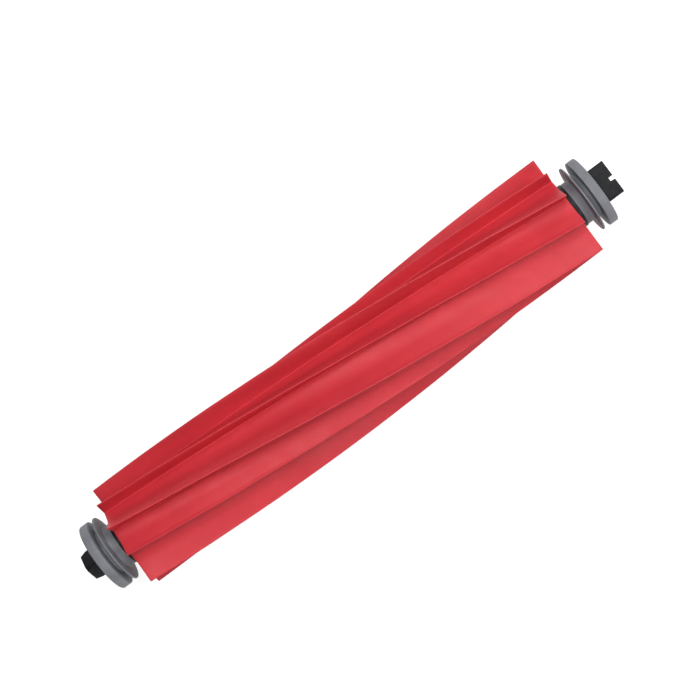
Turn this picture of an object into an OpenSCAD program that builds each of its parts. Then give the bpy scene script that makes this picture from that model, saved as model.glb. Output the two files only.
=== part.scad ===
// Main roller brush of a robot vacuum: a rubber sleeve with ten helical fins on a hollow core,
// a flanged cap at each end, a drive square at -X and a bearing block on a ball bearing at +X.
// The axis lies along X and the origin is on it, half way between the two ends.

/* [Roller] */
// Distance between the outer faces of the two flanged caps
flange_span = 173.3; // [150:0.1:200]
// How far the drive square stands out of its cap
drive_reach = 4.7; // [3.5:0.1:7]
// How far the bearing block stands out of its cap
block_reach = 5.4; // [5.2:0.1:7]

/* [Rubber sleeve] */
// Radius over the tall fins
tall_r = 16.8; // [15.5:0.1:19]
// Radius over the short fins, which stand between the tall ones
short_r = 14.9; // [13.5:0.1:15.4]
// Number of tall fins, and of short ones
fin_pairs = 5; // [4:1:5]
// Turn of a fin from one end of the sleeve to the other, in degrees
fin_turn = 79.7; // [40:0.1:120]
// Angle of the first tall fin at mid-length, in degrees from +Y towards +Z
fin_phase = 38; // [0:1:72]
// How far a short fin stands off the middle of its gap, in degrees
short_lag = -2.4; // [-4:0.1:4]
// How far the tip of a fin leans over its foot, in degrees round the axis
fin_lean = 7; // [0:0.5:9]
// Thickness of a fin at its tip
tip_t = 0.9; // [0.7:0.05:1.3]
// Thickness of a fin at its foot
foot_t = 1.5; // [1.2:0.1:2]
// Radius of the sleeve between two fins
floor_r = 11; // [10.2:0.1:11.6]
// Radius of the rounding at the foot of a fin
fillet_r = 2.2; // [0.8:0.1:2.4]
// How far the sleeve stops short of each cap's outer face
sleeve_inset = 9.2; // [9:0.1:10.5]

/* [Core tube] */
// Outer radius under the sleeve
core_r = 8.6; // [8:0.1:9]
// Outer radius of the neck that shows between the sleeve and each cap
neck_r = 6.9; // [6.7:0.1:7.2]
// Width of that neck
neck_w = 1.7; // [1.4:0.1:2]
// Radius of the hollow middle
hollow_r = 6.8; // [6.2:0.1:7]

/* [Flanged caps] */
// Radius of the thick outer flange
flange_r = 10.6; // [9.5:0.1:12]
// Width of the thick outer flange
flange_w = 2.7; // [2.4:0.1:3]
// Width of the open groove that catches hair
groove_w = 1.6; // [1.3:0.1:1.8]
// Width of the thin inner flange
guard_w = 0.8; // [0.7:0.05:1]
// Radius of the hub and of the groove's floor
hub_r = 6.7; // [6.4:0.1:7]

/* [Drive square] */
// Width of the drive square across its flats
square_w = 6.3; // [5.8:0.1:6.5]
// Radius of its corners
square_corner = 0.3; // [0.1:0.05:0.6]

/* [Bearing block] */
// Width of the block, the same both ways
block_w = 10.5; // [10:0.1:12]
// Width of the slot across its end
slot_w = 1.2; // [1:0.1:1.6]
// Depth of that slot
slot_d = 1.4; // [1:0.1:1.5]

/* [Ball bearing] */
// Bore radius of the bearing, the radius of the axle pin too
race_bore_r = 1.5; // [1.5:0.1:1.6]
// Outer radius of the bearing
race_outer_r = 4; // [4:0.1:4.1]
// Width of the bearing
race_w = 4; // [3.6:0.1:4]
// Radius of a ball
ball_r = 0.78; // [0.7:0.01:0.79]
// Number of balls
ball_count = 7; // [5:1:7]

/* [Hidden] */
$fn = 96;

// Along the axis
length = flange_span + drive_reach + block_reach;
drive_face = drive_reach - length / 2;
bearing_face = length / 2 - block_reach;
sleeve_len = flange_span - 2 * sleeve_inset;
sleeve_mid = (drive_face + bearing_face) / 2;

// Sleeve
slices = 24;
fin_pitch = 180 / fin_pairs;
tip_round = 0.2;
turn_per_mm = fin_turn / sleeve_len;

// Levels in each cap, counted outwards from its outer face
cap_foot = neck_w - sleeve_inset;
groove_top = -flange_w;
groove_foot = groove_top - groove_w;
guard_foot = groove_foot - guard_w;
rim_edge = 0.35;
guard_r = flange_r - 0.15;
guard_taper = 0.15;

// The spigot of a cap plugs into the core and locks there with two lugs
cap_bore_r = 4.45;
spigot_r = 5.2;
spigot_len = 4.5;
spigot_gap = 0.1;
lug_w = 1.6;
lug_h = 0.4;
lug_len = 1.2;
lock_turn = 35;

// The outer face of a cap is cored between its rim and its middle, with ribs across
coring_d = 1.6;
coring_wall = 1.1;
rib_count = 6;
rib_w = 0.8;

// A plug in each end of the core: a round journal in the cap, a hexagonal shank in the core
journal_r = cap_bore_r - 0.1;
journal_foot = cap_foot - spigot_len - 0.2;
shank_w = 7.4;
shank_foot = journal_foot - 12;
cross_pin_r = 1;
cross_pin_at = shank_foot + 3;
cross_pin_len = 2 * core_r - 0.4;
fit_gap = 0.02;
// How far one form runs into the next where they are one piece
root = 1;

// Drive square
square_recess = 0.4;
nose_len = 2;
nose_edge = 0.5;

// Bearing end
well_r = 6.1;
well_d = 2.2;
washer_t = 0.5;
washer_r = 2.2;
race_foot = washer_t - well_d;
race_top = race_foot + race_w;
skirt_r = 5.2;
block_gap = 0.35;
block_corner = 0.6;
slot_at = -0.3;
pocket_r = 3;
pocket_top = race_top + 1.1;
felt_t = 1.6;
felt_gap = 0.2;
pin_top = race_top + 0.8;
pin_foot = -16;
pin_edge = 0.25;
clip_t = 0.4;
clip_r = 2.2;
clip_groove_r = 1.2;
clip_mouth = 1.8;

// Ball bearing
ball_at = (race_foot + race_top) / 2;
pitch_r = (race_bore_r + race_outer_r) / 2;
track_r = ball_r + 0.02;
land_in_r = 2.25;
land_out_r = 3.25;
shield_t = 0.2;
shield_in = 0.1;
shield_r = 3.45;
shield_bore_r = 2.4;
cage_in_r = 2.42;
cage_out_r = 3.08;
cage_foot = ball_at - 1.3;
cage_top = ball_at + 0.15;
cage_pocket_r = ball_r + 0.06;

// Turns what is built up along +Z so that it runs along +X, with its +X to +Y and its +Y to +Z
module along_x() rotate([90, 0, 90]) children();

// Puts what is built outwards along +Z from a cap's outer face at that end of the roller
module at_bearing_end() translate([bearing_face, 0, 0]) rotate([90, 0, 90]) children();
module at_drive_end() translate([drive_face, 0, 0]) rotate([90, 0, -90]) children();

module tube(outer, inner, low, high) {
    difference() {
        translate([0, 0, low]) cylinder(r = outer, h = high - low);
        translate([0, 0, low - 1]) cylinder(r = inner, h = high - low + 2);
    }
}

// One fin of the section, its slightly rounded tip on +X and its foot behind by fin_lean
module fin_2d(r) {
    foot = floor_r - 0.5;
    foot_mid = [foot * cos(fin_lean), -foot * sin(fin_lean)];
    polygon([foot_mid - [0, foot_t / 2], [r - tip_round, -tip_t / 2], [r, tip_round - tip_t / 2],
             [r, tip_t / 2 - tip_round], [r - tip_round, tip_t / 2], foot_mid + [0, foot_t / 2]]);
}

// The sleeve's section: closing the gaps with a disc rounds the foot of each fin
module sleeve_2d() {
    offset(r = -fillet_r, $fn = 24) offset(delta = fillet_r) union() {
        circle(r = floor_r, $fn = 60);
        for (i = [0:2 * fin_pairs - 1])
            rotate(i * fin_pitch + (i % 2) * short_lag) fin_2d(i % 2 == 0 ? tall_r : short_r);
    }
}

module fin_sleeve() {
    color("crimson") translate([sleeve_mid, 0, 0]) along_x() difference() {
        rotate(fin_phase + turn_per_mm * (sleeve_mid - sleeve_len / 2))
            linear_extrude(height = sleeve_len, center = true, convexity = 10,
                           twist = -turn_per_mm * sleeve_len, slices = slices)
                sleeve_2d();
        cylinder(r = core_r, h = sleeve_len + 2, center = true);
    }
}

// What each end of the core is cut for: the spigot's seat, its two L-shaped locks and the plug
module core_end_cuts() {
    seat_foot = cap_foot - spigot_len - 0.2;
    lock_top = cap_foot - spigot_len + lug_len + spigot_gap;
    translate([0, 0, seat_foot]) cylinder(r = spigot_r + spigot_gap, h = spigot_len + 1);
    for (side = [0, 180]) rotate(side) {
        lock_r = spigot_r + lug_h + spigot_gap;
        turn = asin(lug_w / 2 / lock_r) + 2;
        translate([0, 0, seat_foot]) rotate(-turn) rotate_extrude(angle = lock_turn + 2 * turn)
            square([lock_r, lock_top - seat_foot]);
        rotate(lock_turn) translate([0, -lug_w / 2 - spigot_gap, seat_foot])
            cube([lock_r, lug_w + 2 * spigot_gap, spigot_len + 1]);
    }
    translate([0, 0, shank_foot - 1]) hexagon(shank_w + 0.1, seat_foot - shank_foot + 2);
    translate([0, 0, cross_pin_at]) rotate([0, 90, 0])
        cylinder(r = cross_pin_r + fit_gap, h = 3 * core_r, center = true);
}

// A hexagonal bar of that width across its flats, with two flats facing +X and -X
module hexagon(width, h) rotate(30) cylinder(r = width / 2 / cos(30), h = h, $fn = 6);

module core_tube() {
    color("#26262a") difference() {
        translate([sleeve_mid, 0, 0]) along_x() {
            cylinder(r = core_r, h = sleeve_len, center = true);
            cylinder(r = neck_r, h = sleeve_len + 2 * neck_w, center = true);
        }
        translate([sleeve_mid, 0, 0]) along_x()
            cylinder(r = hollow_r, h = flange_span + 2 * shank_foot, center = true);
        at_drive_end() core_end_cuts();
        at_bearing_end() core_end_cuts();
    }
}

// Section of a cap, from its bore out: thick flange, open groove, thin guard flange, hub, spigot
module cap_2d() {
    spigot_foot = cap_foot - spigot_len;
    polygon([[cap_bore_r, 0], [flange_r - rim_edge, 0], [flange_r, -rim_edge],
             [flange_r, groove_top], [hub_r, groove_top], [hub_r, groove_foot],
             [guard_r, groove_foot - guard_taper], [guard_r, guard_foot + guard_taper],
             [hub_r, guard_foot], [hub_r, cap_foot], [spigot_r, cap_foot],
             [spigot_r, spigot_foot], [cap_bore_r, spigot_foot]]);
}

module flanged_cap(coring_in_r) {
    coring_out_r = flange_r - coring_wall;
    difference() {
        union() {
            rotate_extrude() cap_2d();
            for (side = [0, 180]) rotate(side) intersection() {
                tube(spigot_r + lug_h, spigot_r - 0.3, cap_foot - spigot_len,
                     cap_foot - spigot_len + lug_len);
                translate([0, -lug_w / 2, cap_foot - spigot_len])
                    cube([flange_r, lug_w, lug_len]);
            }
        }
        difference() {
            tube(coring_out_r, coring_in_r, -coring_d, 1);
            for (i = [0:rib_count - 1]) rotate(i * 360 / rib_count)
                translate([0, -rib_w / 2, -coring_d - 1]) cube([flange_r, rib_w, coring_d + 3]);
        }
    }
}

module drive_cap() {
    color("#85868b") at_drive_end() flanged_cap(cap_bore_r + coring_wall);
}

module bearing_cap() {
    color("#85868b") at_bearing_end() difference() {
        flanged_cap(well_r + coring_wall);
        translate([0, 0, -well_d]) cylinder(r = well_r, h = well_d + 1);
    }
}

// What both plugs share: the journal up to that level, and the shank with its cross hole
module plug(journal_top) {
    translate([0, 0, journal_foot]) cylinder(r = journal_r, h = journal_top - journal_foot);
    difference() {
        translate([0, 0, shank_foot]) hexagon(shank_w, journal_foot - shank_foot + root);
        translate([0, 0, cross_pin_at]) rotate([0, 90, 0])
            cylinder(r = cross_pin_r + fit_gap, h = 3 * core_r, center = true);
    }
}

// A square with round corners, centred
module round_square(width, corner) {
    inner = width - 2 * corner;
    square([width, inner], center = true);
    square([inner, width], center = true);
    for (x = [-1, 1], y = [-1, 1]) translate([x, y] * inner / 2) circle(r = corner, $fn = 24);
}

module drive_plug() {
    nose_r = square_w / 2 * sqrt(2) - square_corner * (sqrt(2) - 1);
    foot = -square_recess - root;
    color("#232326") at_drive_end() {
        plug(-square_recess);
        intersection() {
            translate([0, 0, foot]) rotate(45) linear_extrude(height = drive_reach - foot)
                round_square(square_w, square_corner);
            rotate_extrude() polygon([[0, foot], [nose_r, foot], [nose_r, drive_reach - nose_len],
                                      [nose_r - nose_edge, drive_reach], [0, drive_reach]]);
        }
    }
}

module axle_holder() {
    color("#232326") at_bearing_end() difference() {
        plug(-well_d);
        translate([0, 0, pin_foot]) cylinder(r = race_bore_r, h = -pin_foot);
    }
}

module cross_pin() {
    translate([0, 0, cross_pin_at]) rotate([0, 90, 0])
        cylinder(r = cross_pin_r, h = cross_pin_len, center = true);
}

module drive_cross_pin() color("silver") at_drive_end() cross_pin();
module axle_cross_pin() color("silver") at_bearing_end() cross_pin();

module axle_pin() {
    r = race_bore_r;
    color("silver") at_bearing_end() rotate_extrude()
        polygon([[0, pin_foot], [r - pin_edge, pin_foot], [r, pin_foot + pin_edge],
                 [r, race_top], [clip_groove_r, race_top], [clip_groove_r, race_top + clip_t],
                 [r, race_top + clip_t], [r, pin_top - pin_edge], [r - pin_edge, pin_top],
                 [0, pin_top]]);
}

module thrust_washer() {
    color("silver") at_bearing_end() tube(washer_r, race_bore_r, -well_d, race_foot);
}

module felt_ring() {
    color("dimgray") at_bearing_end()
        tube(well_r, skirt_r + felt_gap, -well_d, felt_t - well_d);
}

// The groove that the balls run in, as the ring that it takes out of a race
module ball_track() {
    translate([0, 0, ball_at]) rotate_extrude() translate([pitch_r, 0]) circle(r = track_r, $fn = 48);
}

module bearing_inner_race() {
    color("silver") at_bearing_end() difference() {
        tube(land_in_r, race_bore_r, race_foot, race_top);
        ball_track();
    }
}

module bearing_outer_race() {
    rebate = shield_in + shield_t;
    color("silver") at_bearing_end() difference() {
        tube(race_outer_r, land_out_r, race_foot, race_top);
        ball_track();
        translate([0, 0, race_foot - 1]) cylinder(r = shield_r, h = rebate + 1);
        translate([0, 0, race_top - rebate]) cylinder(r = shield_r, h = rebate + 1);
    }
}

module bearing_ball(i) {
    color("lightsteelblue") at_bearing_end() rotate(i * 360 / ball_count)
        translate([pitch_r, 0, ball_at]) sphere(r = ball_r, $fn = 48);
}

// A crown: a ring on one side of the balls, with a pocket round each
module ball_cage() {
    color("peru") at_bearing_end() difference() {
        tube(cage_out_r, cage_in_r, cage_foot, cage_top);
        for (i = [1:ball_count]) rotate(i * 360 / ball_count)
            translate([pitch_r, 0, ball_at]) sphere(r = cage_pocket_r, $fn = 48);
    }
}

module shield_inboard() {
    low = race_foot + shield_in;
    color("gainsboro") at_bearing_end() tube(shield_r, shield_bore_r, low, low + shield_t);
}

module shield_outboard() {
    high = race_top - shield_in;
    color("gainsboro") at_bearing_end() tube(shield_r, shield_bore_r, high - shield_t, high);
}

module axle_clip() {
    color("gray") at_bearing_end() difference() {
        tube(clip_r, clip_groove_r, race_top, race_top + clip_t);
        translate([0, -clip_mouth / 2, race_top - 1]) cube([2 * clip_r, clip_mouth, clip_t + 2]);
    }
}

// The block that the machine holds: it doesn't turn, and the bearing is pressed into it
module bearing_carrier() {
    color("#232326") at_bearing_end() difference() {
        union() {
            translate([0, 0, race_foot]) cylinder(r = skirt_r, h = block_gap - race_foot);
            translate([0, 0, block_gap]) linear_extrude(height = block_reach - block_gap)
                round_square(block_w, block_corner);
        }
        translate([0, 0, race_foot - 1]) cylinder(r = race_outer_r, h = race_w + 1);
        translate([0, 0, race_top - 1]) cylinder(r = pocket_r, h = pocket_top - race_top + 1);
        translate([slot_at - slot_w / 2, -block_w, block_reach - slot_d])
            cube([slot_w, 2 * block_w, slot_d + 1]);
    }
}

fin_sleeve();
core_tube();
drive_cap();
drive_plug();
drive_cross_pin();
axle_holder();
axle_cross_pin();
bearing_cap();
axle_pin();
thrust_washer();
felt_ring();
bearing_inner_race();
bearing_outer_race();
ball_cage();
shield_inboard();
shield_outboard();
axle_clip();
bearing_carrier();
for (i = [1:ball_count])
    bearing_ball(i);
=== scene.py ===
import bmesh
import bpy
import numpy as np
from mathutils import Matrix, Vector
from mathutils.geometry import tessellate_polygon


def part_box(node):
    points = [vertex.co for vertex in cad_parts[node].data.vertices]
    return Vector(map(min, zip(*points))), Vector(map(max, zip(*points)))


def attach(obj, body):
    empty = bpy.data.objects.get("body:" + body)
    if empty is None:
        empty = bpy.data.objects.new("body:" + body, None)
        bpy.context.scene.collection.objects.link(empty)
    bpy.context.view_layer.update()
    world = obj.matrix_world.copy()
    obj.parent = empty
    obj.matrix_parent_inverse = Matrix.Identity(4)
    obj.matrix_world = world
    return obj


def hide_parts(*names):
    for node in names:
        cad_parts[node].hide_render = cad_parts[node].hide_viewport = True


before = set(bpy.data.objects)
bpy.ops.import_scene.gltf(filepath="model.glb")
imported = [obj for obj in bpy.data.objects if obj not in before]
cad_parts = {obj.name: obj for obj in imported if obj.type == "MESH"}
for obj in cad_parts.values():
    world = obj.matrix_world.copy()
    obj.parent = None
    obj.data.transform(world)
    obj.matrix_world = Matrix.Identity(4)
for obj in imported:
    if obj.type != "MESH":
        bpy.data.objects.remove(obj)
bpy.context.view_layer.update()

MM = 0.001

# Camera. The photo looks down on the roller, which lies along X, from about half a metre, with
# the roller's axis rising to the right and its right end a little nearer. The view is told as
# the turn and tilt of that axis, and the place in the picture of one point on it.
PICTURE = 700                      # pixels on a side
FOCAL = 1818.2                     # in pixels, from the fit to the photo
SENSOR = 36.0                      # wide, in plain millimetres, as lenses are told
NEAR_CLIP, FAR_CLIP = 0.01, 20
AXIS_RISE = np.radians(36.83)      # of +X in the picture, from level
AXIS_TILT = np.radians(2.29)       # of +X towards the camera
CAMERA_FAR = 510.7 * MM            # from the lens down to the point
AIM_POINT = np.array([3.17 * MM, 0, 0])
AIM_OFF = np.array([2.004 * MM, -4.802 * MM])   # of that point from the view's middle

# The frame's X, Y and Z as the camera sees them
along = np.array([np.cos(AXIS_RISE) * np.cos(AXIS_TILT), np.sin(AXIS_RISE) * np.cos(AXIS_TILT),
                  np.sin(AXIS_TILT)])
upward = np.array([0, 0, 1]) - along * along[2]
upward /= np.linalg.norm(upward)
across = np.cross(upward, along)
seen = np.column_stack([along, across, upward])
stand = AIM_POINT - seen.T @ np.array([AIM_OFF[0], AIM_OFF[1], -CAMERA_FAR])
lens = bpy.data.cameras.new("camera")
lens.sensor_width = SENSOR
lens.lens = SENSOR * FOCAL / PICTURE
lens.clip_start, lens.clip_end = NEAR_CLIP, FAR_CLIP
camera = bpy.data.objects.new("camera", lens)
bpy.context.scene.collection.objects.link(camera)
camera.matrix_world = Matrix.Translation(stand) @ Matrix(seen.T.tolist()).to_4x4()
bpy.context.scene.camera = camera


# Fin sleeve. Ten helical fins of soft red silicone rubber, tall and short in turn, moulded in
# one piece onto the core. The fins lean over, from a broad foot to a thin tip: their back runs
# out in a wide fillet and their front drops steeply. The soft tips waver a little.
TALL_R = 16.8 * MM
SHORT_R = 14.9 * MM
FIN_PAIRS = 5
FINS = 2 * FIN_PAIRS
FIN_TURN = np.radians(79.7)        # from end to end
FIN_PHASE = np.radians(38)         # of the first tall fin, at the origin
SHORT_LAG = np.radians(-2.4)       # of the short fins, off the middle between two tall ones
FIN_LEAN = np.radians(12)          # of the tip past the foot
TIP_T = 0.45 * MM
FOOT_T = 3.2 * MM
FOOT_DEPTH = 0.5 * MM              # of the foot, where the flanks start, under the floor
FLOOR_R = 11.0 * MM
FRONT_FILLET = 0.3 * MM
BACK_FILLET = 8.0 * MM
CORE_R = 8.6 * MM
TIP_ROUND = 0.21 * MM              # all but a full round
EDGE_ROUND = 0.12 * MM
QUARTER = np.linspace(0, np.pi / 2, 4)      # the steps of a rounded edge
TIP_POINTS, FLANK_POINTS = 5, 6    # on the stretches of the outline
FILLET_POINTS, FLOOR_POINTS = 9, 6
BORE_POINTS = 120
RINGS = 150                        # from end to end
WAVER = 0.13 * MM                  # of a fin's tip, about as far as it goes to either side
WAVE_LENGTHS = np.array([61, 37, 23]) * MM
WAVE_SHARES = (0.1, 0.4)           # of that, between which each wave's size is drawn
WAVE_SEED = 5


def arc(centre, radius, start, end, count):
    """Points on a circle from one angle to another, in the plane of complex numbers."""
    return centre + radius * np.exp(1j * np.linspace(start, end, count))


def fin_side(angle, radius, side):
    """One side of a fin, from its tip to the floor: the rounded corner of the tip, the straight
    flank, and the fillet, whose circle touches the flank and, from outside, the floor's circle.
    side is 1 for the front, at higher angles, and -1 for the back. The fin's tip is at the
    given angle and its foot at FIN_LEAN before it."""
    out = np.exp(1j * angle)
    corner = out * (radius - TIP_ROUND + side * 1j * (TIP_T / 2 - TIP_ROUND))
    tip = arc(corner, TIP_ROUND, angle, angle + side * np.pi / 2, TIP_POINTS)
    fillet_r = FRONT_FILLET if side > 0 else BACK_FILLET
    middle = (FLOOR_R - FOOT_DEPTH) * np.exp(-1j * FIN_LEAN)
    foot = out * (middle + side * 1j * FOOT_T / 2)
    along_fin = (tip[-1] - foot) / abs(tip[-1] - foot)
    away = along_fin * 1j * side
    # The centre is up the fin from start, and FLOOR_R + fillet_r from the roller's axis
    start = foot + fillet_r * away
    half = (start * along_fin.conjugate()).real
    reach = -half + np.sqrt(half ** 2 - abs(start) ** 2 + (FLOOR_R + fillet_r) ** 2)
    centre = start + reach * along_fin
    first = np.angle(-away)
    turn = side * (first - np.angle(-centre)) % (2 * np.pi)
    fillet = arc(centre, fillet_r, first, first - side * turn, FILLET_POINTS)
    flank = np.linspace(tip[-1], fillet[0], FLANK_POINTS)[1:-1]
    return np.concatenate([tip, flank, fillet])


def sleeve_section():
    """The outline of the section, once round from the first fin's tip, and its outward normals."""
    fins = [(fin * 2 * np.pi / FINS + (fin % 2) * SHORT_LAG, SHORT_R if fin % 2 else TALL_R)
            for fin in range(FINS)]
    outline = []
    for fin, following in zip(fins, fins[1:] + fins[:1]):
        falling = fin_side(*fin, 1)
        rising = fin_side(*following, -1)[::-1]
        start = np.angle(falling[-1])
        turn = (np.angle(rising[0]) - start) % (2 * np.pi)
        floor = arc(0, FLOOR_R, start, start + turn, FLOOR_POINTS)[1:-1]
        outline += [falling, floor, rising[:-1]]
    outline = np.concatenate(outline)
    ahead = np.roll(outline, -1) - np.roll(outline, 1)
    return outline, -1j * ahead / abs(ahead)


def waver(x):
    """How far each fin's tip stands off its place, in a row for each x: three sines, of seeded
    phase and size."""
    chance = np.random.default_rng(WAVE_SEED)
    phase = chance.uniform(0, 2 * np.pi, (FINS, len(WAVE_LENGTHS)))
    size = chance.uniform(*WAVE_SHARES, (FINS, len(WAVE_LENGTHS)))
    waves = np.sin(2 * np.pi * x[:, None, None] / WAVE_LENGTHS + phase)
    return WAVER * (size * waves).sum(axis=-1)


def ring_faces(rings, around, first=0):
    """Quads between rings of points that each close on themselves, outwards for rings that run
    along +X and turn from +Y to +Z."""
    ring, point = np.meshgrid(np.arange(rings - 1), np.arange(around), indexing="ij")
    nearby = (point + 1) % around
    quads = np.stack([ring * around + point, ring * around + nearby,
                      (ring + 1) * around + nearby, (ring + 1) * around + point], -1)
    return (quads.reshape(-1, 4) + first).tolist()


SHARP = np.radians(40)
MEETING = 1e-4 * MM                # points nearer than this are one


def new_piece(name, vertices, faces):
    """An object at the origin with that mesh, merged where points meet, and smooth but for
    its sharp edges."""
    mesh = bpy.data.meshes.new(name)
    mesh.from_pydata(np.reshape(vertices, (-1, 3)).tolist(), [], faces)
    shape = bmesh.new()
    shape.from_mesh(mesh)
    bmesh.ops.remove_doubles(shape, verts=shape.verts, dist=MEETING)
    shape.to_mesh(mesh)
    shape.free()
    mesh.shade_smooth()
    mesh.set_sharp_from_angle(angle=SHARP)
    piece = bpy.data.objects.new(name, mesh)
    bpy.context.scene.collection.objects.link(piece)
    return piece


def dress(piece, body, material, slot, *nodes):
    """Gives a piece its material and body, and hides the imported nodes that it stands for. Its
    slot is not used.
    """
    piece.data.materials.clear()
    piece.data.materials.append(material)
    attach(piece, body)
    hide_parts(*nodes)


def flat_end(outline, bore, side):
    """Triangles that fill an end between its outline and the bore, facing side along X. They
    count the outline's points first. The fins overhang, so plain quads would fold over."""
    points = np.concatenate([outline, bore])
    triangles = np.array(tessellate_polygon([outline, bore]))
    first, second, third = points[triangles].transpose(1, 0, 2)
    wrong = np.cross(second - first, third - first)[:, 0] * side < 0
    triangles[wrong] = triangles[wrong][:, ::-1]
    return triangles


def sleeve_mesh():
    """Rings of the section from end to end, each turned by its place along X, and the fins'
    tips set aside by their waver. At an end the rings draw in along a quarter circle, which
    rounds the edge, and a flat end closes them to the bore."""
    low, high = [corner[0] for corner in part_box("fin_sleeve")]
    outline, normal = sleeve_section()
    fin = np.round(np.angle(outline) / (2 * np.pi / FINS)).astype(int) % FINS
    reach = np.where(fin % 2, SHORT_R, TALL_R)
    height = np.clip((abs(outline) - FLOOR_R) / (reach - FLOOR_R), 0, 1)
    inset = EDGE_ROUND * (1 - np.sin(QUARTER))
    back = EDGE_ROUND * (1 - np.cos(QUARTER))
    middle = np.linspace(low + EDGE_ROUND, high - EDGE_ROUND, RINGS)[1:-1]
    x = np.concatenate([low + back, middle, high - back[::-1]])
    draw = np.concatenate([inset, 0 * middle, inset[::-1]])
    turn = (FIN_PHASE + FIN_TURN / (high - low) * x[:, None] +
            height ** 2 * waver(x)[:, fin] / reach)
    section = (outline - normal * draw[:, None]) * np.exp(1j * turn)
    rings = np.stack([0 * section.real + x[:, None], section.real, section.imag], -1)
    around, total = len(outline), section.size
    turns = np.linspace(0, 2 * np.pi, BORE_POINTS, endpoint=False)
    circle = CORE_R * np.column_stack([0 * turns, np.cos(turns), np.sin(turns)])
    bores = [circle + (high, 0, 0), circle + (low, 0, 0)]
    faces = ring_faces(len(x), around) + ring_faces(2, BORE_POINTS, total)
    ends = ((1, rings[-1], total - around, bores[0], total),
            (-1, rings[0], 0, bores[1], total + BORE_POINTS))
    for side, ring, first, bore, bore_first in ends:
        end = flat_end(ring, bore, side)
        faces += np.where(end < around, end + first, end - around + bore_first).tolist()
    return np.concatenate([rings.reshape(-1, 3), *bores]), faces


sleeve = new_piece("rubber_sleeve", *sleeve_mesh())


def hex_colour(code):
    """A colour written as sRGB hex, such as "#c8323c", as the linear one that a shader takes."""
    values = np.array([int(code[i:i + 2], 16) for i in (1, 3, 5)]) / 255
    linear = np.where(values <= 0.04045, values / 12.92, ((values + 0.055) / 1.055) ** 2.4)
    return (*linear, 1)


def add(tree, kind, sockets, **settings):
    """Adds one node with its settings. Each of its sockets, by name or number, takes a value,
    a colour in hex or the output of another node."""
    node = tree.nodes.new(kind)
    for name, value in settings.items():
        setattr(node, name, value)
    for name, source in sockets.items():
        if isinstance(source, bpy.types.NodeSocket):
            tree.links.new(source, node.inputs[name])
        else:
            value = hex_colour(source) if isinstance(source, str) else source
            node.inputs[name].default_value = value
    return node


def new_material(name):
    """An empty node material: it, its tree and the object coordinates."""
    material = bpy.data.materials.new(name)
    material.use_nodes = True
    tree = material.node_tree
    tree.nodes.clear()
    return material, tree, add(tree, "ShaderNodeTexCoord", {}).outputs["Object"]


NOISE_RANGE = {"From Min": 0.35, "From Max": 0.65}     # where most values of noise lie


def patches(tree, place, size, low, high, detail=3):
    """Soft patches of about that size, as a number from low to high: noise, stretched."""
    noise = add(tree, "ShaderNodeTexNoise",
                {"Vector": place, "Scale": 1 / size, "Detail": detail}).outputs["Fac"]
    return add(tree, "ShaderNodeMapRange",
               {"Value": noise, "To Min": low, "To Max": high, **NOISE_RANGE}).outputs[0]


def grained(tree, place, size, strength, depth, detail=3):
    """The normals of a surface with a grain of about that size and depth."""
    noise = add(tree, "ShaderNodeTexNoise",
                {"Vector": place, "Scale": 1 / size, "Detail": detail}).outputs["Fac"]
    return add(tree, "ShaderNodeBump",
               {"Height": noise, "Strength": strength, "Distance": depth}).outputs["Normal"]


def off_axis(tree, place):
    """How far along X a place is, and how far off that axis."""
    part = add(tree, "ShaderNodeSeparateXYZ", {0: place})
    flat = add(tree, "ShaderNodeCombineXYZ", {0: part.outputs["Y"], 1: part.outputs["Z"]})
    radius = add(tree, "ShaderNodeVectorMath", {0: flat.outputs[0]}, operation="LENGTH")
    return part.outputs["X"], radius.outputs["Value"]


def finish_material(tree, sockets):
    """The shader and the output."""
    shader = add(tree, "ShaderNodeBsdfPrincipled", sockets)
    add(tree, "ShaderNodeOutputMaterial", {"Surface": shader.outputs["BSDF"]})


RUBBER_RED, RUBBER_PALER, RUBBER_SPECKLE = "#c42e38", "#cd333c", "#c12f39"
# A highlight painted along the tips of the tall fins: a paler red, mixed in by distance from the
# axis.
TIP_HIGHLIGHT_RED = "#e2666c"
TIP_HIGHLIGHT_WIDTH = 0.25 * MM           # from the very tips of the tall fins inwards
TIP_HIGHLIGHT_SHARE = 0.04


def red_silicone_rubber():
    """Moulded silicone rubber: strong red with faint clouds and speckles in it, satin, and a
    highlight painted a little paler along the tips of the tall fins. Its mould grain is drawn
    coarser than it is, so that it shows."""
    material, tree, place = new_material("moulded_red_silicone_rubber")
    clouds = patches(tree, place, 18 * MM, 0, 1)
    speckles = patches(tree, place, 2.4 * MM, 0, 0.5)
    radius = off_axis(tree, place)[1]
    # Painted highlight: a paler red mixed in towards the tips of the tall fins, by distance from
    # the axis.
    painted_tip_highlight = add(tree, "ShaderNodeMapRange",
                 {"Value": radius, "From Min": TALL_R - TIP_HIGHLIGHT_WIDTH, "From Max": TALL_R,
                  "To Max": TIP_HIGHLIGHT_SHARE}).outputs[0]
    colour = RUBBER_RED
    for share, tint in ((clouds, RUBBER_PALER), (speckles, RUBBER_SPECKLE), (painted_tip_highlight, TIP_HIGHLIGHT_RED)):
        colour = add(tree, "ShaderNodeMix", {0: share, 6: colour, 7: tint},
                     data_type="RGBA").outputs[2]
    finish_material(tree, {
        "IOR": 1.38,
        "Base Color": colour,
        "Roughness": patches(tree, place, 6 * MM, 0.49, 0.59),
        "Normal": grained(tree, place, 0.3 * MM, 0.15, 0.05 * MM, detail=2)})
    return material


dress(sleeve, "rotor", red_silicone_rubber(), "red_rubber", "fin_sleeve")


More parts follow.
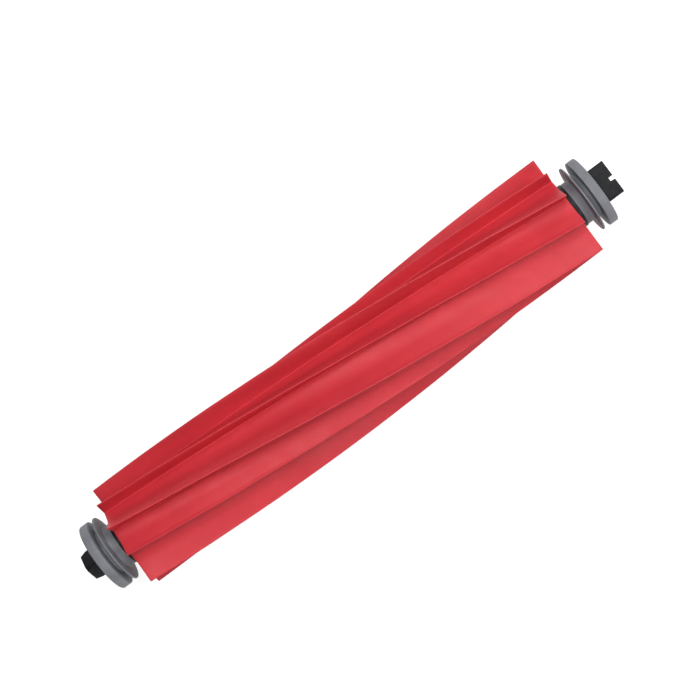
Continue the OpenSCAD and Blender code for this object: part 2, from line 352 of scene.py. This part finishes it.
# Flanged caps. One cap of mid-grey plastic closes each end of the roller: a thick flange, an
# open groove that catches hair, a thin guard flange and a hub, with a spigot and two lugs that
# lock in the core. The outer face is cored between its rim and its middle, with six ribs.
FLANGE_R = 10.6 * MM
FLANGE_W = 2.7 * MM
GROOVE_W = 1.6 * MM
GUARD_R = 10.45 * MM
GUARD_W = 0.8 * MM
GUARD_TAPER = 0.15 * MM
HUB_R = 6.7 * MM
HUB_FOOT = -7.5 * MM
CAP_BORE_R = 4.45 * MM
SPIGOT_R = 5.2 * MM
SPIGOT_FOOT = -12.0 * MM
WELL_R = 6.1 * MM
WELL_D = 2.2 * MM
RIBS = 6
RIB_HALF = 0.4 * MM
CORING_WALL = 1.1 * MM
CORING_D = 1.6 * MM
POCKET_CORNER = 0.5 * MM
LIP_ROUND = 0.15 * MM
FLOOR_ROUND = 0.3 * MM
RIM_ROUND = 0.35 * MM
SMALL_ROUND = 0.18 * MM
LUG_HALF = 0.8 * MM
LUG_R = 5.6 * MM
LUG_LEN = 1.2 * MM
LUG_ROOT = 0.3 * MM                # of a lug, inside the spigot
ARC_STEPS, CORNER_STEPS, SIDE_STEPS = 18, 6, 4


def rounded(corners, steps=5):
    """A line through corners, each a radius, a level and a rounding, as points of radius +
    1j * level. A rounding is a circle that touches both of the lines that meet there."""
    points = [complex(radius, level) for radius, level, _ in corners]
    line = [points[0]]
    for before, here, after, (_, _, size) in zip(points, points[1:], points[2:], corners[1:]):
        if not size:
            line.append(here)
            continue
        back, on = [(other - here) / abs(other - here) for other in (before, after)]
        half = abs(np.angle(on / back)) / 2
        centre = here + (back + on) / abs(back + on) * size / np.sin(half)
        start = here + back * size / np.tan(half) - centre
        turn = np.angle((here + on * size / np.tan(half) - centre) / start)
        line += list(centre + start * np.exp(1j * turn * np.linspace(0, 1, steps)))
    return np.array(line + [points[-1]])


def turned(line, around):
    """Rings of a line of radius + 1j * level, turned about the axis of its levels."""
    ring = np.exp(2j * np.pi * np.arange(around) / around)
    flat = line.real[:, None] * ring
    return np.stack([flat.real, flat.imag, np.broadcast_to(line.imag[:, None], flat.shape)], -1)


def pocket(grown, outer, inner):
    """The outline of a pocket of the coring, grown by that much all round, anticlockwise from
    the middle of its corner between the outer wall and the rib along +X."""
    rib, corner = RIB_HALF - grown, POCKET_CORNER + grown
    reach = rib + corner
    far = complex(np.sqrt((outer + grown - corner) ** 2 - reach ** 2), reach)
    near = complex(np.sqrt((inner - grown + corner) ** 2 - reach ** 2), reach)
    far_corner = arc(far, corner, -np.pi / 2, np.angle(far), CORNER_STEPS + 1)
    near_corner = arc(near, corner, np.pi + np.angle(near), 1.5 * np.pi, CORNER_STEPS + 1)
    turn = np.exp(2j * np.pi / RIBS)
    far_next, near_next = [line.conj()[::-1] * turn for line in (far_corner, near_corner)]

    def between(start, end, steps, curved):
        share = np.linspace(0, 1, steps + 1)[1:-1]
        return start * (end / start) ** share if curved else start + (end - start) * share

    loop = [far_corner, between(far_corner[-1], far_next[0], ARC_STEPS, True),
            far_next, between(far_next[-1], near_next[0], SIDE_STEPS, False),
            near_next, between(near_next[-1], near_corner[0], ARC_STEPS, True),
            near_corner, between(near_corner[-1], far_corner[0], SIDE_STEPS, False)]
    return np.roll(np.concatenate(loop), -(CORNER_STEPS // 2))


def sector(outer, inner):
    """The part of the outer face that belongs to one pocket, point for point as its outline."""
    turn = np.exp(1j * np.linspace(0, 2 * np.pi / RIBS, ARC_STEPS + CORNER_STEPS + 1))
    side = np.linspace(outer, inner, SIDE_STEPS + CORNER_STEPS + 1)
    return np.concatenate([outer * turn[:-1], side[:-1] * turn[-1], inner * turn[:0:-1],
                           side[:0:-1]])


def cored_face(first, outer_edge, inner_edge, outer, inner):
    """The outer face with its pockets: each sector's face, the rounded lip, the wall, the
    rounding at the floor and the floor. Its faces count their points from first."""
    loops = np.array([sector(outer_edge, inner_edge)] +
                     [pocket(LIP_ROUND * (1 - np.sin(a)), outer, inner) for a in QUARTER] +
                     [pocket(-FLOOR_ROUND * (1 - np.cos(a)), outer, inner) for a in QUARTER])
    levels = np.concatenate([[0], -LIP_ROUND * (1 - np.cos(QUARTER)),
                             -CORING_D + FLOOR_ROUND * (1 - np.sin(QUARTER))])
    flat = np.exp(2j * np.pi * np.arange(RIBS) / RIBS)[:, None, None] * loops
    vertices = np.stack([flat.real, flat.imag, 0 * flat.real + levels[:, None]], -1)
    count, size = loops.shape
    faces = []
    for last in first + loops.size * np.arange(1, RIBS + 1):
        faces += ring_faces(count, size, last - loops.size)
        faces.append(list(range(last - size, last)))
    return vertices.reshape(-1, 3), faces


def cap_mesh(well):
    """The cap with its axis along +Z and its outer face at zero: what is turned, the cored
    face and the two lugs. well says if the face is sunk for the bearing block's skirt."""
    guard_top = -FLANGE_W - GROOVE_W
    guard_foot = guard_top - GUARD_W
    mouth_r = WELL_R if well else CAP_BORE_R
    inside = [(mouth_r + SMALL_ROUND, 0, 0), (mouth_r, 0, SMALL_ROUND)]
    if well:
        inside += [(WELL_R, -WELL_D, LIP_ROUND), (CAP_BORE_R, -WELL_D, LIP_ROUND)]
    line = rounded(inside + [
        (CAP_BORE_R, SPIGOT_FOOT, LIP_ROUND), (SPIGOT_R, SPIGOT_FOOT, LIP_ROUND),
        (SPIGOT_R, HUB_FOOT, 0), (HUB_R, HUB_FOOT, LIP_ROUND),
        (HUB_R, guard_foot, SMALL_ROUND),
        (GUARD_R, guard_foot + GUARD_TAPER, SMALL_ROUND),
        (GUARD_R, guard_top - GUARD_TAPER, SMALL_ROUND),
        (HUB_R, guard_top, SMALL_ROUND), (HUB_R, -FLANGE_W, SMALL_ROUND),
        (FLANGE_R, -FLANGE_W, SMALL_ROUND), (FLANGE_R, 0, RIM_ROUND),
        (FLANGE_R - RIM_ROUND, 0, 0)])
    around = RIBS * (ARC_STEPS + CORNER_STEPS)
    body = turned(line, around).reshape(-1, 3)
    face, sides = cored_face(len(body), FLANGE_R - RIM_ROUND, mouth_r + SMALL_ROUND,
                             FLANGE_R - CORING_WALL, mouth_r + CORING_WALL)
    faces = ring_faces(len(line), around) + sides
    low = np.array([SPIGOT_R - LUG_ROOT, -LUG_HALF, SPIGOT_FOOT])
    high = np.array([LUG_R, LUG_HALF, SPIGOT_FOOT + LUG_LEN])
    lug = low + np.indices((2, 2, 2)).reshape(3, -1).T * (high - low)
    sides = np.array([(0, 1, 3, 2), (4, 6, 7, 5), (0, 4, 5, 1), (2, 3, 7, 6), (0, 2, 6, 4),
                      (1, 5, 7, 3)])
    first = len(body) + len(face)
    faces += (sides + first).tolist() + (sides + first + len(lug)).tolist()
    return np.concatenate([body, face, lug, lug * (-1, -1, 1)]), faces


def grey_cap_plastic():
    """Moulded mid-grey plastic: slight clouding and a low sheen. Its fine even texture is
    drawn coarser than it is, so that it shows."""
    material, tree, place = new_material("moulded_grey_plastic_fine_texture")
    clouds = patches(tree, place, 5.5 * MM, 0, 1)
    colour = add(tree, "ShaderNodeMix", {0: clouds, 6: "#707177", 7: "#7b7d83"},
                 data_type="RGBA").outputs[2]
    finish_material(tree, {
        "IOR": 1.42,
        "Base Color": colour,
        "Roughness": patches(tree, place, 1.1 * MM, 0.50, 0.60),
        "Normal": grained(tree, place, 0.19 * MM, 0.18, 0.04 * MM)})
    return material


# Each end's own axes, with +Z outwards from its cap's outer face, as the roller's
DRIVE_AXES = np.array([(0, -1, 0), (0, 0, 1), (-1, 0, 0)])
BEARING_AXES = np.array([(0, 1, 0), (0, 0, 1), (1, 0, 0)])
drive_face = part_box("drive_cap")[0][0]
bearing_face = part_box("bearing_cap")[1][0]
grey_plastic = grey_cap_plastic()
for node, face, axes in (("drive_cap", drive_face, DRIVE_AXES),
                         ("bearing_cap", bearing_face, BEARING_AXES)):
    vertices, faces = cap_mesh(well=node == "bearing_cap")
    piece = new_piece(node + "_moulding", vertices @ axes + (face, 0, 0), faces)
    dress(piece, "rotor", grey_plastic, "grey_cap_plastic", node)


# Core, plugs and bearing block. The black core shows only as a neck at each end of the sleeve.
# A moulded plug sits in each of its ends: one has the drive square, the other carries the axle
# pin. The machine holds the bearing block. All keep their packed form, with edges rounded.
PACKED_SHARP = np.radians(30)
PACKED_FLAT = np.radians(0.3)      # faces that differ by less than this are one
PACKED_MEETING = 1e-3 * MM
EDGE_SEGMENTS = 3


def rounded_copy(node, width):
    """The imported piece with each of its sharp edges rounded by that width."""
    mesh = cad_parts[node].data.copy()
    shape = bmesh.new()
    shape.from_mesh(mesh)
    bmesh.ops.remove_doubles(shape, verts=shape.verts, dist=PACKED_MEETING)
    bmesh.ops.dissolve_limit(shape, angle_limit=PACKED_FLAT, verts=shape.verts,
                             edges=shape.edges)
    shape.to_mesh(mesh)
    shape.free()
    piece = bpy.data.objects.new(node + "_finished", mesh)
    bpy.context.scene.collection.objects.link(piece)
    mesh.shade_smooth()
    mesh.set_sharp_from_angle(angle=PACKED_SHARP)
    if width:
        edges = piece.modifiers.new("edges", "BEVEL")
        edges.width, edges.segments = width, EDGE_SEGMENTS
        edges.limit_method, edges.angle_limit = "ANGLE", PACKED_SHARP
        edges.harden_normals = True
    return piece


def black_plastic(name, dark, light, low, high, grain):
    """Black engineering plastic: nearly black, with faint flow clouds, and a roughness from
    low to high. Its mould grain is drawn coarser than it is, so that it shows."""
    material, tree, place = new_material(name)
    clouds = patches(tree, place, 3.8 * MM, 0, 1, detail=4)
    colour = add(tree, "ShaderNodeMix", {0: clouds, 6: dark, 7: light},
                 data_type="RGBA").outputs[2]
    finish_material(tree, {
        "IOR": 1.35,
        "Base Color": colour,
        "Roughness": patches(tree, place, 1.4 * MM, low, high),
        "Normal": grained(tree, place, grain, 0.15, 0.04 * MM)})
    return material


nylon = black_plastic("glass_filled_black_nylon", "#101012", "#18181b", 0.44, 0.56, 0.38 * MM)
acetal = black_plastic("moulded_black_acetal", "#090a10", "#0f1016", 0.54, 0.66, 0.24 * MM)
BLACK_PIECES = (
    # piece, body, slot, rounding of its edges, material
    ("core_tube", "rotor", "black_nylon", 0.15 * MM, nylon),
    ("drive_plug", "rotor", "black_acetal", 0.32 * MM, acetal),
    ("axle_holder", "rotor", "black_acetal", 0.15 * MM, acetal),
    ("bearing_carrier", "bearing_block", "black_acetal", 0.42 * MM, acetal),
)
for node, body, slot, width, material in BLACK_PIECES:
    dress(rounded_copy(node, width), body, material, slot, node)


# Steel, brass and felt inside. The locking pins, the axle pin with its washer and clip, the
# ball bearing and the dust seal round the bearing block's skirt. They keep their packed form,
# with edges rounded, and each has the finish of such a piece.
METAL_MARKS = 0.19 * MM            # apart, drawn coarser than they are, so that they show


def metal(name, dark, light, low, high, lathed=True):
    """Metal: its tint, and a roughness from low to high. Where it is turned or ground the
    marks run round X: noise of the place along the axis and the distance from it."""
    material, tree, place = new_material(name)
    if lathed:
        along_x, radius = off_axis(tree, place)
        place = add(tree, "ShaderNodeCombineXYZ", {0: along_x, 1: radius}).outputs[0]
    marks = add(tree, "ShaderNodeTexNoise",
                {"Vector": place, "Scale": 1 / METAL_MARKS, "Detail": 3}).outputs["Fac"]
    share = add(tree, "ShaderNodeMapRange", {"Value": marks, **NOISE_RANGE}).outputs[0]
    colour = add(tree, "ShaderNodeMix", {0: share, 6: dark, 7: light},
                 data_type="RGBA").outputs[2]
    rough = add(tree, "ShaderNodeMapRange",
                {"Value": marks, "To Min": low, "To Max": high, **NOISE_RANGE}).outputs[0]
    normal = add(tree, "ShaderNodeBump",
                 {"Height": marks, "Strength": 0.12, "Distance": 0.02 * MM}).outputs["Normal"]
    finish_material(tree, {"Metallic": 1.0, "Base Color": colour, "Roughness": rough,
                           "Normal": normal})
    return material


FELT_FIBRES = 0.38 * MM            # drawn coarser than they are, so that they show


def pressed_wool_felt():
    """Grey felt: short fibres every way, no gloss but a soft sheen."""
    material, tree, place = new_material("pressed_wool_felt")
    fibres = add(tree, "ShaderNodeTexNoise",
                 {"Vector": place, "Scale": 1 / FELT_FIBRES, "Detail": 6}).outputs["Fac"]
    share = add(tree, "ShaderNodeMapRange", {"Value": fibres, **NOISE_RANGE}).outputs[0]
    colour = add(tree, "ShaderNodeMix", {0: share, 6: "#3c3c3e", 7: "#6a6a6d"},
                 data_type="RGBA").outputs[2]
    normal = add(tree, "ShaderNodeBump",
                 {"Height": fibres, "Strength": 0.9, "Distance": 0.25 * MM}).outputs["Normal"]
    finish_material(tree, {"Roughness": 0.95, "Sheen Weight": 0.25, "Base Color": colour,
                           "Normal": normal})
    return material


INNER_PIECES = (
    # pieces, body, slot, rounding of their edges, material
    (("drive_cross_pin", "axle_cross_pin"), "rotor", "pin_steel", 0.15 * MM,
     metal("ground_steel_pin", "#a8a8aa", "#bcbcbe", 0.22, 0.34, lathed=False)),
    (("axle_pin",), "rotor", "pin_steel", 0.05 * MM,
     metal("ground_steel_axle", "#b0b0b2", "#c2c2c4", 0.16, 0.28)),
    (("thrust_washer",), "rotor", "washer_steel", 0.05 * MM,
     metal("stamped_stainless_steel", "#a6a6a8", "#b4b4b6", 0.28, 0.42, lathed=False)),
    (("bearing_inner_race",), "rotor", "race_steel", 0.08 * MM,
     metal("ground_inner_race_steel", "#bababc", "#cacacc", 0.12, 0.24)),
    (("bearing_outer_race",), "bearing_block", "race_steel", 0.08 * MM,
     metal("ground_outer_race_steel", "#bababc", "#cacacc", 0.12, 0.24)),
    (("ball_cage",), "ball_set", "cage_brass", 0.0,
     metal("pressed_brass", "#b08c48", "#c8a45c", 0.26, 0.4, lathed=False)),
    (("shield_inboard", "shield_outboard"), "bearing_block", "shield_steel", 0.03 * MM,
     metal("pressed_shield_steel", "#b2b2b4", "#c0c0c2", 0.22, 0.36)),
    (("axle_clip",), "rotor", "clip_steel", 0.05 * MM,
     metal("blackened_spring_steel", "#4a4a4e", "#5c5c60", 0.3, 0.46, lathed=False)),
    (("felt_ring",), "rotor", "felt", 0.1 * MM, pressed_wool_felt()),
    (tuple(f"bearing_ball_{i}" for i in range(1, 8)), "ball_set", "ball_steel", 0.0,
     metal("polished_ball_steel", "#ccccce", "#d4d4d6", 0.04, 0.09, lathed=False)),
)
for nodes, body, slot, width, material in INNER_PIECES:
    for node in nodes:
        dress(rounded_copy(node, width), body, material, slot, node)


# Floor and light. A pale floor just under the roller, white to the camera as in the photo, and
# four soft lamps over it, named for where they stand in the camera's view.
FLOOR_BELOW = 0.2 * MM
FLOOR_HALF = 3.0
FLOOR_PAINT = (0.9, 0.9, 0.9, 1)
FLOOR_SHADED = (0.3, 0.3, 0.3, 1)  # what the camera sees of the paint, under the glow
FLOOR_GLOW = 0.86
WHITE = (1, 1, 1, 1)


def pale_floor():
    """Matt paint that lights the roller as any pale floor does. Seen by the camera, in gloss or
    through glass it glows white, and keeps a faint shadow."""
    material, tree, _ = new_material("pale_floor")
    paint = add(tree, "ShaderNodeBsdfDiffuse", {"Color": FLOOR_PAINT})
    shaded = add(tree, "ShaderNodeBsdfDiffuse", {"Color": FLOOR_SHADED})
    glow = add(tree, "ShaderNodeEmission", {"Color": WHITE, "Strength": FLOOR_GLOW})
    both = add(tree, "ShaderNodeAddShader", {0: shaded.outputs[0], 1: glow.outputs[0]})
    rays = add(tree, "ShaderNodeLightPath", {})
    white = rays.outputs["Is Camera Ray"]
    for kind in ("Is Glossy Ray", "Is Transmission Ray"):
        white = add(tree, "ShaderNodeMath", {0: white, 1: rays.outputs[kind]},
                    operation="MAXIMUM").outputs[0]
    pick = add(tree, "ShaderNodeMixShader", {0: white, 1: paint.outputs[0], 2: both.outputs[0]})
    add(tree, "ShaderNodeOutputMaterial", {"Surface": pick.outputs[0]})
    return material


level = -TALL_R - FLOOR_BELOW
corners = [(-FLOOR_HALF, -FLOOR_HALF, level), (FLOOR_HALF, -FLOOR_HALF, level),
           (FLOOR_HALF, FLOOR_HALF, level), (-FLOOR_HALF, FLOOR_HALF, level)]
floor = new_piece("floor", corners, [[0, 1, 2, 3]])
floor.data.materials.append(pale_floor())


def soft_light(name, place, watts):
    """A square area lamp at that place, turned to face the origin."""
    lamp = bpy.data.lights.new(name, "AREA")
    lamp.size, lamp.energy = LAMP_SIZE, watts
    light = bpy.data.objects.new(name, lamp)
    bpy.context.scene.collection.objects.link(light)
    light.location = place
    light.rotation_mode = "QUATERNION"
    light.rotation_quaternion = (-Vector(place)).to_track_quat("-Z", "Y")


LAMP_SIZE = 0.35
WORLD_STRENGTH = 0.05
soft_light("front", (0, 0.28, 0.75), 3.1)
soft_light("right", (0.45, -0.06, 0.66), 3.3)
soft_light("upper right", (0.45, 0.45, 0.48), 1.3)
soft_light("below", (0.05, -0.62, 0.50), 1.9)
world = bpy.data.worlds.new("world")
world.use_nodes = True
world.node_tree.nodes["Background"].inputs["Color"].default_value = WHITE
world.node_tree.nodes["Background"].inputs["Strength"].default_value = WORLD_STRENGTH
bpy.context.scene.world = world
bpy.context.scene.view_settings.view_transform = "Standard"
